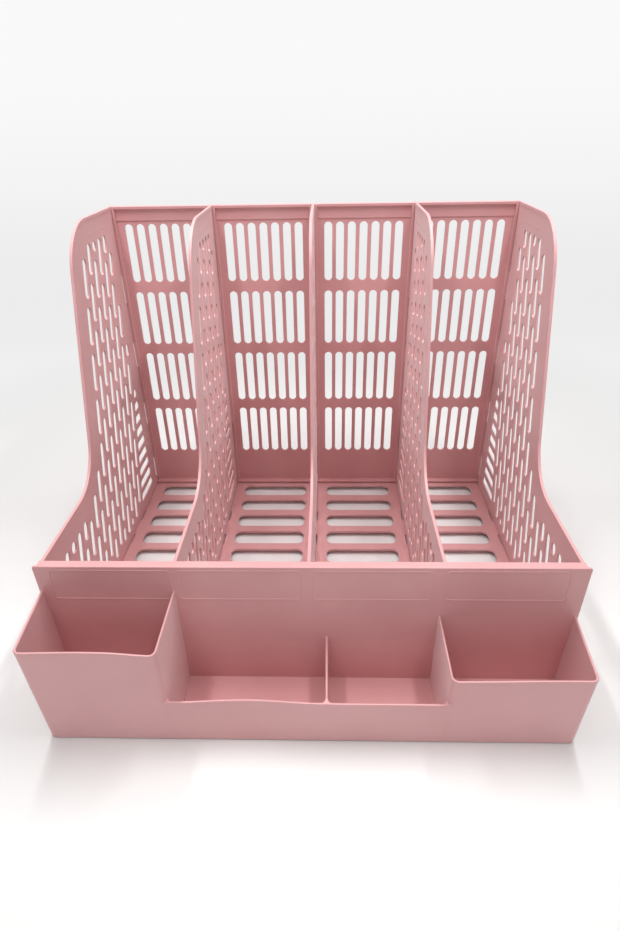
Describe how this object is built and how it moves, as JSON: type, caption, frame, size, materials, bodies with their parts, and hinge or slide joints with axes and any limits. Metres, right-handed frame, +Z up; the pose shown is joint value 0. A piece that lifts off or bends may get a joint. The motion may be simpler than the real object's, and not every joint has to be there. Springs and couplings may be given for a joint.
{
  "type": "desk file organizer",
  "caption": "Upright desk rack for files and magazines, snapped together from perforated moulded panels, with a lift-off pen box hooked over its front.",
  "frame": {"origin": "on the table, under the middle of the whole footprint, rack and pen box together", "axes": "+X to the right across the sections, +Y from the pen box to the tall back, +Z up"},
  "size_m": [0.388, 0.3434, 0.3105],
  "materials": {
    "pink_plastic": "moulded polypropylene, dusty pink, soft satin"
  },
  "bodies": {
    "rack": {"side_panel_left": "pink_plastic", "divider_1": "pink_plastic", "divider_2": "pink_plastic", "divider_3": "pink_plastic", "side_panel_right": "pink_plastic", "back_panel_1": "pink_plastic", "back_panel_2": "pink_plastic", "back_panel_3": "pink_plastic", "back_panel_4": "pink_plastic", "base_panel_1": "pink_plastic", "base_panel_2": "pink_plastic", "base_panel_3": "pink_plastic", "base_panel_4": "pink_plastic", "front_panel_1": "pink_plastic", "front_panel_2": "pink_plastic", "front_panel_3": "pink_plastic", "front_panel_4": "pink_plastic"},
    "pen_box": {"pen_box": "pink_plastic"}
  },
  "joints": [
    {"name": "pen_box_lift", "type": "slide", "parent": "rack", "child": "pen_box", "axis": [0, 0, 1], "range_m": [0, 0.03]}
  ]
}
